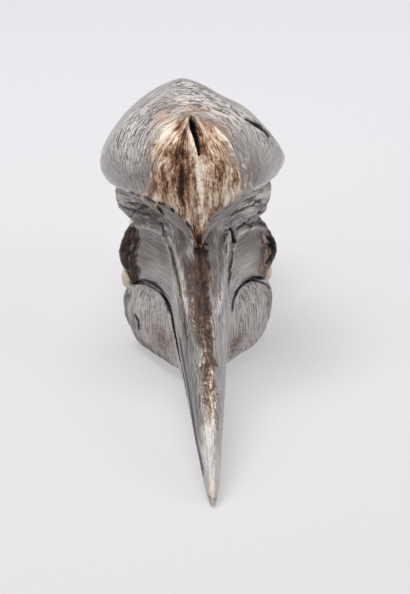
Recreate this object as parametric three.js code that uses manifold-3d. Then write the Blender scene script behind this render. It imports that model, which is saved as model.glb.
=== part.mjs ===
// Skull of a large forest hornbill with its horny bill sheath and casque, lying on its
// lower jaw with the bill shut. Millimetres, +Z up, bill towards -Y, the mid-plane at X = 0.
// A station is a distance behind the tip of the bill, so station s lies at Y = s - SKULL_LENGTH / 2.
import * as THREE from 'three';
import { mergeVertices } from 'three/addons/utils/BufferGeometryUtils.js';
import Module from 'manifold-3d';

const wasm = await Module();
wasm.setup();
const { clamp, lerp, smoothstep } = THREE.MathUtils;

// Driving dimensions
const SKULL_LENGTH = 250;
const JOINT_GAP = 0.3;
const MOUTH_GAP = 0.8;

const BILL_BASE = 178;
const BILL_TIP_ROUND = 2;
const BILL_REFERENCE_STATION = 105;
const BILL_HALF_WIDTH = 9.2;
const BILL_TAPER = 0.6;
const BILL_REAR_WAIST = 2.5;
const GROOVE_DEPTH = 0.9;
const NOSTRIL = { x: 11.8, station: 131, z: 50, halfWidth: 1.5, halfLength: 4.5, halfHeight: 3 };

const CASQUE_FRONT = 91;
const CASQUE_REAR = 213;
const CASQUE_HALF_WIDTH = 31.2;
const CASQUE_POLE_HEIGHT = 80;
const CASQUE_APEX = { station: 120, z: 101.5 };
const CASQUE_FALL = 16;
const CASQUE_LEAN = -2.5;
const CASQUE_SHOULDER = 1.42;
const CASQUE_REAR_HEIGHT = 60;
const CASQUE_FOOT_STATION = 104;
const SLIT = { z: 89, halfHeight: 6.5, halfWidth: 0.9, depth: 6 };

const LOWER_BILL_TIP = 10;
const SYMPHYSIS_END = 96;
const GAPE_END = 157;
const JAW_WALL = 8;
const JAW_BULGE = 1.9;
const JAW_MISFIT = -0.9;

const ORBIT_REAR = 211;
const ORBIT = { centre: [25, 195, 41], half: [17, 21, 15] };

const JAW_JOINT = { x: 21.4, station: 208, z: 12 };
const JAW_REST = { from: 182, to: 204 };

const horn = (color) => new THREE.MeshStandardMaterial({ color, roughness: 0.5, metalness: 0 });
const MATERIAL = {
  casque: horn(0x8c8682),
  bill: horn(0x7d7774),
  bone: new THREE.MeshStandardMaterial({ color: 0xe3d2b4, roughness: 0.75, metalness: 0 }),
};

// A size that changes along the skull, smooth through [station, value] pairs.
function along(...pairs) {
  const spline = new THREE.CubicInterpolant(pairs.map((p) => p[0]), pairs.map((p) => p[1]), 1);
  return (station) => spline.evaluate(station)[0];
}

// Rises from 0 to 1 as a quarter of a circle does.
const quarterRound = (share) => Math.sqrt(1 - (1 - clamp(share, 0, 1)) ** 2);

// Turns an angle round a section into its side, -1 or 1, and its share of the way from top to bottom.
function foldAngle(angle) {
  const half = angle <= Math.PI ? angle : 2 * Math.PI - angle;
  return { side: angle <= Math.PI ? 1 : -1, share: half / Math.PI };
}

// A closed skin over rings of points. place(reach, angle) gives the point at a share of the way
// from one end to the other, and both ends shrink to a point.
function loft(rings, sides, place) {
  const geometry = new THREE.SphereGeometry(1, sides, rings);
  const { position, uv } = geometry.attributes;
  for (let i = 0; i < position.count; i += 1) {
    const ring = Math.floor(i / (sides + 1));
    const reach = ring / rings;
    const atEnd = ring === 0 || ring === rings;
    const angle = atEnd ? 0 : uv.getX(i) * 2 * Math.PI;
    position.setXYZ(i, ...place(reach, angle));
  }
  return geometry;
}

// Merged triangles of a geometry, turned so that its faces point out.
function closedMesh(geometry) {
  const bare = geometry.clone();
  bare.deleteAttribute('normal');
  bare.deleteAttribute('uv');
  const welded = mergeVertices(bare, 1e-4);
  const corners = welded.attributes.position;
  const index = [];
  const [a, b, c] = [new THREE.Vector3(), new THREE.Vector3(), new THREE.Vector3()];
  let volume = 0;
  for (let i = 0; i < welded.index.count; i += 3) {
    const triangle = [0, 1, 2].map((k) => welded.index.getX(i + k));
    if (new Set(triangle).size < 3) continue;
    [a, b, c].forEach((corner, k) => corner.fromBufferAttribute(corners, triangle[k]));
    volume += a.dot(b.cross(c));
    index.push(triangle);
  }
  if (volume < 0) index.forEach((triangle) => triangle.reverse());
  return { points: new Float32Array(corners.array), triangles: new Uint32Array(index.flat()) };
}

function solidOf(geometry) {
  const { points, triangles } = closedMesh(geometry);
  return new wasm.Manifold(new wasm.Mesh({ numProp: 3, vertProperties: points, triVerts: triangles }));
}

function geometryOf(solid) {
  const { vertProperties, triVerts } = solid.getMesh();
  const geometry = new THREE.BufferGeometry();
  geometry.setAttribute('position', new THREE.BufferAttribute(new Float32Array(vertProperties), 3));
  geometry.setIndex(new THREE.BufferAttribute(new Uint32Array(triVerts), 1));
  return geometry;
}

// The body of a solid that is left when loose scraps are dropped.
const largest = (solid) => solid.decompose().sort((one, two) => two.volume() - one.volume())[0];

// The solid with its skin moved out by the joint gap, to cut a neighbour clear of it.
function grown(solid) {
  const geometry = geometryOf(solid);
  geometry.computeVertexNormals();
  const { position, normal } = geometry.attributes;
  for (let i = 0; i < position.count; i += 1) {
    position.setXYZ(
      i,
      position.getX(i) + JOINT_GAP * normal.getX(i),
      position.getY(i) + JOINT_GAP * normal.getY(i),
      position.getZ(i) + JOINT_GAP * normal.getZ(i),
    );
  }
  return solidOf(geometry);
}

const clearOf = (solid, ...neighbours) =>
  largest(neighbours.reduce((rest, neighbour) => rest.subtract(grown(neighbour)), solid));

function box(from, to) {
  const size = to.map((value, i) => value - from[i]);
  return solidOf(new THREE.BoxGeometry(...size).translate(...from.map((value, i) => value + size[i] / 2)));
}

function ellipsoid(centre, half, sides = 16) {
  return solidOf(new THREE.SphereGeometry(1, sides, sides / 2).scale(...half).translate(...centre));
}

function mirrored(solid) {
  return solidOf(geometryOf(solid).scale(-1, 1, 1));
}

// A bone shaft along a curve, with half sizes across and up that follow the share of its length.
function shaft(path, halfAcross, halfUp, rings = 12, sides = 10) {
  const curve = new THREE.CatmullRomCurve3(path.map((point) => new THREE.Vector3(...point)));
  const up = new THREE.Vector3(0, 0, 1);
  const endRound = 0.12;
  return solidOf(
    loft(rings, sides, (reach, angle) => {
      const share = (1 - Math.cos(Math.PI * reach)) / 2;
      const tangent = curve.getTangent(share);
      const across = new THREE.Vector3().crossVectors(tangent, up).normalize();
      const over = new THREE.Vector3().crossVectors(across, tangent);
      const round = quarterRound(share / endRound) * quarterRound((1 - share) / endRound);
      const point = curve.getPoint(share);
      point.addScaledVector(across, round * halfAcross(share) * Math.cos(angle));
      point.addScaledVector(over, round * halfUp(share) * Math.sin(angle));
      return point.toArray();
    }),
  );
}

const skull = new THREE.Group();
skull.position.set(0, -SKULL_LENGTH / 2, 0);

function add(name, solid, material) {
  const mesh = new THREE.Mesh(geometryOf(solid), material.clone());
  mesh.name = name;
  skull.add(mesh);
}

// Side view of the bill: the ridge of the upper bill, its cutting edge and the keel of the lower bill
const culmen = along(
  [0, 3], [5, 8.6], [12, 13.7], [32, 22.2], [53, 30.9], [77, 39.6], [104, 48.6], [135, 57], [178, 61],
);
const cuttingEdge = along(
  [0, -1], [4.5, 0], [12, 6], [30, 12.8], [55, 19.2], [88, 25], [120, 28.2], [138, 28], [154, 24], [178, 27],
);
const keel = along([10, 1.4], [25, 3.4], [50, 5.4], [75, 6.2], [100, 5.6], [130, 4.6], [157, 3]);

// Top view of the bill: a slender taper, then the plates beside the mouth that flare outwards
const taper = (station) => BILL_HALF_WIDTH * (station / BILL_REFERENCE_STATION) ** BILL_TAPER;
const flare = (station, amount, from, to) => amount * smoothstep(station, from, to) ** 1.6;
const mouthHalfWidth = (station) => taper(station) + flare(station, 12.8, 102, 156);

// Half width of the upper bill at a depth of 0 on the ridge to 1 at the cutting edge.
function upperHalfWidth(station, depth) {
  const slim = taper(station);
  const levels = [0, 0.33, 0.5, 0.7, 0.86, 1];
  const widths = [
    0,
    0.52 * slim + flare(station, 20, 128, 166),
    0.72 * slim + flare(station, 18.6, 122, 162),
    0.9 * slim + flare(station, 10.9, 116, 158),
    slim + flare(station, 15.8, 106, 156),
    mouthHalfWidth(station),
  ];
  const across = new THREE.CubicInterpolant(levels, widths, 1).evaluate(depth)[0];
  const groove = Math.exp(-(((depth - 0.6) / 0.06) ** 2));
  const grooveReach = smoothstep(station, 40, 80) * (1 - smoothstep(station, 128, 140));
  const behindPlates = BILL_REAR_WAIST * smoothstep(station, 160, BILL_BASE) * Math.sqrt(depth);
  return across - GROOVE_DEPTH * groove * grooveReach - behindPlates;
}

// The eye sockets hollow out the back of the bill's base and the edges of the roof above them.
const orbits = [-1, 1].map((side) => {
  const [x, station, z] = ORBIT.centre;
  return ellipsoid([side * x, station, z], ORBIT.half, 22);
});

function makeUpperBill() {
  const wallShare = 0.8;
  const capStart = 0.95;
  const palateVault = 4;
  const skin = loft(42, 36, (reach, angle) => {
    const station = BILL_BASE * Math.min(1, reach / capStart) ** 1.2;
    const { side, share } = foldAngle(angle);
    const [top, bottom] = [culmen(station), Math.max(0, cuttingEdge(station))];
    const depth = Math.min(1, share / wallShare);
    const inward = Math.max(0, (share - wallShare) / (1 - wallShare));
    const x = side * upperHalfWidth(station, depth) * (1 - inward);
    const arch = Math.sin((Math.PI / 2) * inward);
    const vault = palateVault * smoothstep(station, SYMPHYSIS_END, GAPE_END) * arch;
    const z = lerp(top, bottom, depth ** 2) + vault;
    const middle = (top + bottom) / 2;
    const rearCap = 1 - Math.max(0, (reach - capStart) / (1 - capStart));
    const round = quarterRound(station / BILL_TIP_ROUND) * rearCap;
    return [x * round, station, middle + (z - middle) * round];
  });
  const nostrils = [-1, 1].map((side) =>
    ellipsoid(
      [side * NOSTRIL.x, NOSTRIL.station, NOSTRIL.z],
      [NOSTRIL.halfWidth, NOSTRIL.halfLength, NOSTRIL.halfHeight],
    ),
  );
  return largest([...nostrils, ...orbits].reduce((bill, pit) => bill.subtract(pit), solidOf(skin)));
}

// The casque's rim runs from its foot on the bill's ridge outwards and up to its sides.
const rimHeight = along(
  [104, 48.9], [105, 52.5], [106, 55.8], [108, 60.4], [110, 63.2], [113, 64.8],
  [119, 65.2], [137, 65], [160, 63], [190, 59], [213, 60],
);
const rimSpread = along(
  [101, 0], [104, 1.6], [105, 2.3], [106, 3.8], [108, 7.8], [110, 11.8],
  [113, 16.2], [119, 21.2], [128, 25.6], [137, 28.5], [150, 30],
);

function casqueSection(station) {
  const front = station - CASQUE_FRONT;
  const rear = CASQUE_REAR - station;
  const pole = CASQUE_POLE_HEIGHT;
  const behind = clamp((station - CASQUE_APEX.station) / (CASQUE_REAR - CASQUE_APEX.station), 0, 1);
  const slope = CASQUE_APEX.z - CASQUE_FALL * behind;
  const crown = slope - (CASQUE_APEX.z - CASQUE_FALL - CASQUE_REAR_HEIGHT) * behind ** 5;
  const top = lerp(pole, crown, quarterRound(front / (CASQUE_APEX.station - CASQUE_FRONT)));
  const footReach = quarterRound(front / (CASQUE_FOOT_STATION - CASQUE_FRONT));
  const rim = lerp(pole, rimHeight(Math.max(station, CASQUE_FOOT_STATION)), footReach);
  const halfWidth = CASQUE_HALF_WIDTH * quarterRound(front / 48) * quarterRound(rear / 66);
  const rimHalfWidth = Math.min(rimSpread(station), 0.95 * halfWidth);
  const waist = lerp(rim, top, lerp(0.5, 0.17, smoothstep(station, 104, 140)));
  const sunk = rim - Math.min(rim, culmen(station) - 6) + 4;
  const foot = rim - sunk * quarterRound(front / 15) * quarterRound(rear / 40);
  return { top, rim, halfWidth, rimHalfWidth, waist, foot };
}

function makeCasque(bill) {
  const [waistShare, rimShare] = [0.46, 0.66];
  const skin = loft(38, 40, (reach, angle) => {
    const station = lerp(CASQUE_FRONT, CASQUE_REAR, (1 - Math.cos(Math.PI * reach ** 1.25)) / 2);
    const { side, share } = foldAngle(angle);
    const { top, rim, halfWidth, rimHalfWidth, waist, foot } = casqueSection(station);
    if (share <= waistShare) {
      const turn = ((share / waistShare) * Math.PI) / 2;
      const lean = CASQUE_LEAN * Math.cos(turn) * smoothstep(top - waist, 0, 20);
      const rise = smoothstep(station, CASQUE_FRONT + 10, CASQUE_APEX.station);
      const bent = lerp(1, CASQUE_SHOULDER, rise * (1 - smoothstep(station, 150, 200)));
      const across = halfWidth * Math.sin(turn) ** bent;
      return [lean + side * across, station, lerp(waist, top, Math.cos(turn) ** bent)];
    }
    if (share <= rimShare) {
      const down = (share - waistShare) / (rimShare - waistShare);
      const drawnIn = lerp(smoothstep(down, 0, 1), down ** 2.6, smoothstep(station, 112, 140));
      return [side * lerp(halfWidth, rimHalfWidth, drawnIn), station, lerp(waist, rim, down)];
    }
    const inward = (share - rimShare) / (1 - rimShare);
    return [side * rimHalfWidth * (1 - inward), station, lerp(rim, foot, inward ** 2)];
  });
  const slit = ellipsoid([0, CASQUE_FRONT + 1, SLIT.z], [SLIT.halfWidth, SLIT.depth, SLIT.halfHeight]);
  return clearOf(solidOf(skin).subtract(slit), bill);
}

const keelHalfWidth = along(
  [10, 0.8], [50, 2.6], [96, 4.4], [110, 7], [122, 12.4], [134, 17.4], [147, 21.6], [157, 23.4],
);

// Half width of the lower jaw at a depth of 0 at its cutting edge to 1 at its keel.
function lowerHalfWidth(station, depth) {
  const mouth = mouthHalfWidth(station) * lerp(0.9, 1, smoothstep(station, 40, 100));
  const bulge = JAW_BULGE * smoothstep(station, 100, 142);
  const levels = [0, 0.3, 0.6, 1];
  const widths = [
    mouth - JOINT_GAP,
    lerp(mouth, keelHalfWidth(station), 0.15) + bulge,
    lerp(mouth, keelHalfWidth(station), 0.45) + bulge,
    keelHalfWidth(station),
  ];
  return new THREE.CubicInterpolant(levels, widths, 1).evaluate(depth)[0];
}

// The horny lower jaw: a solid bill, and behind its symphysis a plate on each side of the open throat.
function makeLowerJaw() {
  const [topShare, keelShare] = [0.15, 0.85];
  const capStart = 0.95;
  const skin = loft(34, 28, (reach, angle) => {
    const station = lerp(LOWER_BILL_TIP, GAPE_END, Math.min(1, reach / capStart) ** 1.1);
    const { side, share } = foldAngle(angle);
    const [top, bottom] = [cuttingEdge(station) - MOUTH_GAP, keel(station)];
    const depth = clamp((share - topShare) / (keelShare - topShare), 0, 1);
    const outward = Math.min(1, share / topShare) * Math.min(1, (1 - share) / (1 - keelShare));
    const rearCap = 1 - Math.max(0, (reach - capStart) / (1 - capStart));
    const round = quarterRound((station - LOWER_BILL_TIP) / BILL_TIP_ROUND) * rearCap;
    const misfit = JAW_MISFIT * smoothstep(station, 0, 80) * (1 - smoothstep(station, 100, 140));
    const x = misfit + side * lowerHalfWidth(station, depth) * outward * round;
    const middle = (top + bottom) / 2;
    return [x, station, middle + (lerp(top, bottom, depth) - middle) * round];
  });
  const throat = loft(18, 20, (reach, angle) => {
    const station = lerp(SYMPHYSIS_END, GAPE_END + 10, reach);
    const { side, share } = foldAngle(angle);
    const jawStation = Math.min(station, GAPE_END);
    const [top, bottom] = [cuttingEdge(jawStation) - MOUTH_GAP, keel(jawStation)];
    const middle = (top + bottom) / 2;
    const z = lerp(top + 15, bottom - 15, share);
    const inner = lowerHalfWidth(jawStation, clamp((top - z) / (top - bottom), 0, 1)) - JAW_WALL;
    const open = Math.max(JOINT_GAP, inner * smoothstep(station, SYMPHYSIS_END, SYMPHYSIS_END + 16));
    const cap = Math.min(1, 20 * reach, 20 * (1 - reach));
    return [side * Math.sin(Math.PI * share) ** 0.2 * open * cap, station, middle + (z - middle) * cap];
  });
  const half = JOINT_GAP / 2;
  const across = box([-40, SYMPHYSIS_END - half, -20], [40, SYMPHYSIS_END + half, 60]);
  const between = box([-half, SYMPHYSIS_END - half, -20], [half, GAPE_END + 20, 60]);
  const pieces = [solidOf(throat), across, between].reduce((jaw, cut) => jaw.subtract(cut), solidOf(skin));
  return pieces.decompose().sort((one, two) => two.volume() - one.volume()).slice(0, 3);
}

const upperBill = makeUpperBill();
const casque = makeCasque(upperBill);
const sortedFromLow = (solids, axis) =>
  solids.sort((one, two) => one.boundingBox().min[axis] - two.boundingBox().min[axis]);
const [lowerBill, ...plates] = sortedFromLow(makeLowerJaw(), 1);
const [plateRight, plateLeft] = sortedFromLow(plates, 0);

// The cranium behind the bill: braincase, the roof between the eyes and the wall between the sockets
const BRAINCASE = {
  front: 206,
  halfWidth: along([206, 0], [208, 13], [214, 22], [224, 25.4], [236, 22.5], [245, 15], [249, 7], [250, 0]),
  roof: along([206, 50], [208, 59], [216, 65], [228, 66.4], [240, 61], [248, 50], [250, 43]),
  base: along([206, 50], [208, 38], [216, 28], [228, 25], [240, 27], [248, 34], [250, 43]),
};

function makeBraincase() {
  const { front, halfWidth, roof, base } = BRAINCASE;
  const vault = loft(16, 22, (reach, angle) => {
    const station = lerp(front, SKULL_LENGTH, (1 - Math.cos(Math.PI * reach)) / 2);
    const turn = angle + Math.PI / 2;
    const middle = (roof(station) + base(station)) / 2;
    const halfHeight = (roof(station) - base(station)) / 2;
    return [halfWidth(station) * Math.cos(turn), station, middle + halfHeight * Math.sin(turn)];
  });
  const processes = [-1, 1].map((side) =>
    shaft(
      [[side * 16, 222, 54], [side * 21, 213, 49], [side * 22.6, 209, 38]],
      along([0, 6], [1, 2]),
      along([0, 6], [1, 2.4]),
    ),
  );
  const condyle = ellipsoid([0, 243, 29], [3, 4, 3], 12);
  const foramen = ellipsoid([0, 249, 37], [4.5, 5, 4.5], 12);
  return [...processes, condyle].reduce((whole, piece) => whole.add(piece), solidOf(vault)).subtract(foramen);
}

const braincase = clearOf(makeBraincase(), casque);

const frontal = clearOf(
  shaft(
    [[0, BILL_BASE - 8, 54], [0, 196, 55], [0, ORBIT_REAR + 8, 54]],
    along([0, 23], [0.25, 21], [0.55, 16], [0.8, 20], [1, 23]),
    along([0, 6], [0.5, 7], [1, 8]),
    14,
    16,
  )
    .subtract(orbits[0])
    .subtract(orbits[1]),
  upperBill,
  casque,
  braincase,
);

const septum = clearOf(
  shaft([[0, BILL_BASE - 8, 39], [0, ORBIT_REAR + 8, 39]], along([0, 5], [0.5, 2.5], [1, 5]), () => 14),
  upperBill,
  frontal,
  braincase,
);

add('upper_bill', upperBill, MATERIAL.bill);
add('casque', casque, MATERIAL.casque);
add('lower_bill', lowerBill, MATERIAL.bill);
add('lower_plate_left', plateLeft, MATERIAL.bill);
add('lower_plate_right', plateRight, MATERIAL.bill);
add('braincase', braincase, MATERIAL.bone);
add('frontal', frontal, MATERIAL.bone);
add('septum', septum, MATERIAL.bone);

// The paired bones are shaped on the bird's left and mirrored to its right.
const floor = box([-60, 0, -20], [60, SKULL_LENGTH, 0]);
const [restFrom, restTo] = [JAW_REST.from, JAW_REST.to];
const ramus = clearOf(
  shaft(
    [[21, 148, 13.5], [20.2, 166, 12.6], [20.6, restFrom, 8.6], [21.2, restTo, 6.8], [21.2, 216, 7.6]],
    along([0, 2.4], [0.5, 2.8], [1, 3.4]),
    along([0, 9.6], [0.28, 10.4], [0.5, 9.4], [0.82, 7.5], [1, 6]),
    16,
    12,
  ).subtract(floor),
  plateLeft,
);

const quadrate = clearOf(
  shaft(
    [[16, 228, 36], [20, 217, 27], [JAW_JOINT.x, JAW_JOINT.station, JAW_JOINT.z]],
    along([0, 5], [1, 4.2]),
    along([0, 5], [0.5, 3.6], [1, 5]),
  ),
  braincase,
  ramus,
);

const jugal = clearOf(
  shaft(
    [[20, 158, 32], [24.3, 166, 22], [24.4, 176, 20], [24, 194, 18.8], [22.5, 210, 18]],
    along([0, 1.8], [0.25, 2.5], [0.5, 2], [1, 1.7]),
    along([0, 2], [0.25, 4], [0.5, 2.6], [1, 1.9]),
    20,
  ),
  upperBill,
  quadrate,
  ramus,
);

const palatine = clearOf(
  shaft(
    [[7.5, 156, 32], [8, 172, 26.5], [7.2, 186, 23.5], [5.4, 198, 22.5]],
    along([0, 3], [0.5, 3.8], [1, 2.4]),
    along([0, 2], [1, 1.6]),
  ),
  upperBill,
  septum,
);

const pterygoid = clearOf(
  shaft([[5.2, 195, 22.5], [12, 204, 20], [20.5, 212, 19.5]], () => 2, () => 1.8),
  palatine,
  quadrate,
  septum,
  braincase,
);

const pairs = { ramus, quadrate, jugal, palatine, pterygoid };
for (const [name, solid] of Object.entries(pairs)) {
  add(`${name}_left`, solid, MATERIAL.bone);
  add(`${name}_right`, mirrored(solid), MATERIAL.bone);
}

const hornbillSkull = new THREE.Group();
hornbillSkull.add(skull);

export default hornbillSkull;
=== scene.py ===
# %% [markdown]
# # A hornbill skull, lying with its bill towards us
# The solids already give every size of this skull. Here they get their looks: horn that has grown in
# layers and worn through at the front of the casque, a bill with ridges and grooves, and pale bone behind.
# Every piece is in metres and in the solids' own place, so that nothing has to be fitted afterwards.

# %% Load the solids
import math

import bmesh
import bpy
import numpy as np
from mathutils import Matrix, Vector, noise


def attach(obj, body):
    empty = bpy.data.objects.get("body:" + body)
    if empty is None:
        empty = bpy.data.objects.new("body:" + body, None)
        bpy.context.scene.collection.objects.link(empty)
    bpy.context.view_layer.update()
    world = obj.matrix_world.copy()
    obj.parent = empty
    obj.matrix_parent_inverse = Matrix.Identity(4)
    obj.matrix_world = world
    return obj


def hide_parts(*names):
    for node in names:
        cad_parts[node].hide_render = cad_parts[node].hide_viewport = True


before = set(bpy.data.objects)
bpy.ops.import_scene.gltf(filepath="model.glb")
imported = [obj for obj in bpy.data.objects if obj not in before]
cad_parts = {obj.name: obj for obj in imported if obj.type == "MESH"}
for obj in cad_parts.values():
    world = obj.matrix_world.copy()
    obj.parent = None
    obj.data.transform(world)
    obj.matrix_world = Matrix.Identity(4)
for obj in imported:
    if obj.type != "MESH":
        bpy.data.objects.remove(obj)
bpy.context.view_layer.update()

MM = 0.001
print("solids loaded:", len(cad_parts))

# %% [markdown]
# ## The camera
# The photograph looks down the bill from a little above, with the skull leaning slightly to one side.
# A long lens at a known distance keeps the bill from swelling towards us. The camera is set up first,
# because the worn places of the horn are later marked where the photograph shows them.

# %% Camera
IMAGE_SIZE = (410, 594)
FOCAL_PIXELS = 2250
SENSOR_MM = 36
VIEW_TURN = math.radians(-0.8)
VIEW_RISE = math.radians(17)
VIEW_ROLL = math.radians(-2.5)
VIEW_DISTANCE = 0.75
SKULL_MIDDLE = Vector((0, -0.005, 0.05))
BILL_TIP = Vector((0, -0.125, 0.002))
BILL_TIP_PIXEL = (213, 503)

towards_eye = Vector((
    math.sin(VIEW_TURN) * math.cos(VIEW_RISE),
    -math.cos(VIEW_TURN) * math.cos(VIEW_RISE),
    math.sin(VIEW_RISE),
))
level = Vector((math.cos(VIEW_TURN), math.sin(VIEW_TURN), 0))
over = towards_eye.cross(level)
view_right = level * math.cos(VIEW_ROLL) + over * math.sin(VIEW_ROLL)
view_up = over * math.cos(VIEW_ROLL) - level * math.sin(VIEW_ROLL)
eye = SKULL_MIDDLE + towards_eye * VIEW_DISTANCE
tip_depth = (eye - BILL_TIP).dot(towards_eye)
tip_right = (BILL_TIP_PIXEL[0] - IMAGE_SIZE[0] / 2) / FOCAL_PIXELS * tip_depth
tip_up = (IMAGE_SIZE[1] / 2 - BILL_TIP_PIXEL[1]) / FOCAL_PIXELS * tip_depth
eye += view_right * ((BILL_TIP - eye).dot(view_right) - tip_right)
eye += view_up * ((BILL_TIP - eye).dot(view_up) - tip_up)

lens = bpy.data.cameras.new("camera")
lens.sensor_width = SENSOR_MM
lens.lens = SENSOR_MM * FOCAL_PIXELS / max(IMAGE_SIZE)
lens.clip_start = 0.01
camera = bpy.data.objects.new("camera", lens)
view_axes = Matrix((view_right, view_up, towards_eye)).transposed()
camera.matrix_world = Matrix.Translation(eye) @ view_axes.to_4x4()
bpy.context.scene.collection.objects.link(camera)
bpy.context.scene.camera = camera
print("camera at", [round(c, 3) for c in eye], "lens", round(lens.lens, 1), "mm")


# %% Where a point shows in the photograph
def front_view(points):
    """Photograph pixels, across and down, of points in millimetres."""
    seen = (points * MM - np.array(eye)) @ np.array(view_axes)
    spread = FOCAL_PIXELS / -seen[:, 2]
    across = IMAGE_SIZE[0] / 2 + seen[:, 0] * spread
    down = IMAGE_SIZE[1] / 2 - seen[:, 1] * spread
    return np.stack((across, down), axis=1)


# %% [markdown]
# ## Floor and light
# The skull lies on pale paper under wide soft lamps, and with the paper's painted glow its shadow is
# hardly there. One broad lamp hangs above it, weaker ones stand to the left and right, and the pale room
# fills the rest. The floor is far larger than the view, so no edge of it shows.

# %% Floor
FLOOR_HALF = 4.0
paper = bmesh.new()
bmesh.ops.create_grid(paper, x_segments=8, y_segments=8, size=FLOOR_HALF)
floor_mesh = bpy.data.meshes.new("floor")
paper.to_mesh(floor_mesh)
paper.free()
floor = bpy.data.objects.new("floor", floor_mesh)
bpy.context.scene.collection.objects.link(floor)
print("floor", 2 * FLOOR_HALF, "m square")


# %% Lamps and room
def lamp(name, place, size, watts):
    """A square soft lamp that faces the middle of the skull."""
    light = bpy.data.lights.new(name, "AREA")
    light.size = size
    light.energy = watts
    made = bpy.data.objects.new(name, light)
    made.location = place
    made.rotation_euler = (SKULL_MIDDLE - Vector(place)).to_track_quat("-Z", "Y").to_euler()
    bpy.context.scene.collection.objects.link(made)


lamp("lamp_above", (-0.15, -0.2, 1.1), 0.8, 15.5)
lamp("lamp_left", (-0.8, -0.8, 0.75), 0.8, 3.8)
lamp("lamp_right", (0.9, -0.7, 0.7), 0.6, 5.5)

ROOM_TINT = (0.93, 0.925, 0.96, 1)
ROOM_STRENGTH = 0.2
room = bpy.data.worlds.new("room")
room.use_nodes = True
backdrop = room.node_tree.nodes["Background"].inputs
backdrop["Color"].default_value = ROOM_TINT
backdrop["Strength"].default_value = ROOM_STRENGTH
bpy.context.scene.world = room
bpy.context.scene.view_settings.view_transform = "Standard"

# %% [markdown]
# ## Curves along the skull
# A horn sheath is easiest to describe as a row of sections, each with a few sizes that change slowly from
# the tip of the bill backwards. A station is a distance behind the tip. The same curves shaped the solids,
# so the skins made here cover them closely, with far finer meshes that can carry relief.

# %% Curve helpers
SKULL_LENGTH = 250


def cubic(places, values, at):
    """Reads the smooth curve through values at places, for each number of at."""
    places = np.asarray(places, float)
    values = np.asarray(values, float).reshape(len(places), -1)
    values = np.broadcast_to(values, (len(places), len(at)))
    at = np.clip(at, places[0], places[-1])
    last = len(places) - 2
    i = np.clip(np.searchsorted(places, at, side="right") - 1, 0, last)
    before = np.where(i > 0, i - 1, i + 1)
    after = np.where(i < last, i + 2, i)
    column = np.arange(len(at))
    gap = places[i + 1] - places[i]
    p = (at - places[i]) / gap
    lead = gap / 2 / (places[i] - places[before])
    tail = gap / 2 / (places[after] - places[i + 1])
    return (
        (-lead * p**3 + 2 * lead * p**2 - lead * p) * values[before, column]
        + ((1 + lead) * p**3 - (1.5 + 2 * lead) * p**2 + (lead - 0.5) * p + 1) * values[i, column]
        + ((1.5 + tail) * p**2 - (1 + tail) * p**3 + 0.5 * p) * values[i + 1, column]
        + (tail * p**3 - tail * p**2) * values[after, column]
    )


def along(*pairs):
    """A size that changes along the skull, smooth through (station, size) pairs."""
    places, values = zip(*pairs)
    return lambda station: cubic(places, values, station)


def smoothstep(value, low, high):
    share = np.clip((value - low) / (high - low), 0, 1)
    return share * share * (3 - 2 * share)


def fade(value, low, high):
    return 1 - smoothstep(value, low, high)


def lerp(start, end, share):
    return start + (end - start) * share


def quarter_round(share):
    """Rises from 0 to 1 as a quarter of a circle does."""
    return np.sqrt(1 - (1 - np.clip(share, 0, 1)) ** 2)


# %% Bill and rim curves
culmen = along(
    (0, 3), (5, 8.6), (12, 13.7), (32, 22.2), (53, 30.9), (77, 39.6), (104, 48.6), (135, 57), (178, 61)
)
cutting_edge = along(
    (0, -1), (4.5, 0), (12, 6), (30, 12.8), (55, 19.2), (88, 25), (120, 28.2), (138, 28), (154, 24),
    (178, 27),
)
keel = along((10, 1.4), (25, 3.4), (50, 5.4), (75, 6.2), (100, 5.6), (130, 4.6), (157, 3))
keel_half_width = along(
    (10, 0.8), (50, 2.6), (96, 4.4), (110, 7), (122, 12.4), (134, 17.4), (147, 21.6), (157, 23.4)
)
rim_height = along(
    (104, 48.9), (105, 52.5), (106, 55.8), (108, 60.4), (110, 63.2), (113, 64.8), (119, 65.2), (137, 65),
    (160, 63), (190, 59), (213, 60),
)
rim_spread = along(
    (101, 0), (104, 1.6), (105, 2.3), (106, 3.8), (108, 7.8), (110, 11.8), (113, 16.2), (119, 21.2),
    (128, 25.6), (137, 28.5), (150, 30),
)


def taper(station):
    return 9.2 * (np.maximum(station, 0) / 105) ** 0.6


def flare(station, amount, start, end):
    return amount * smoothstep(station, start, end) ** 1.6


def mouth_half_width(station):
    return taper(station) + flare(station, 12.8, 102, 156)


print("culmen at the casque:", culmen(np.array([104.0])))

# %% [markdown]
# ## A skin that can be moved and marked
# Relief on horn is a matter of thousands of points, so they are read into arrays, moved together along
# their normals and written back. The same small class stores marks, such as how worn a place is, as
# attributes of the mesh, which the finishes read later.


# %% Skin class
DEEP_HOLLOW = 0.4


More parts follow.
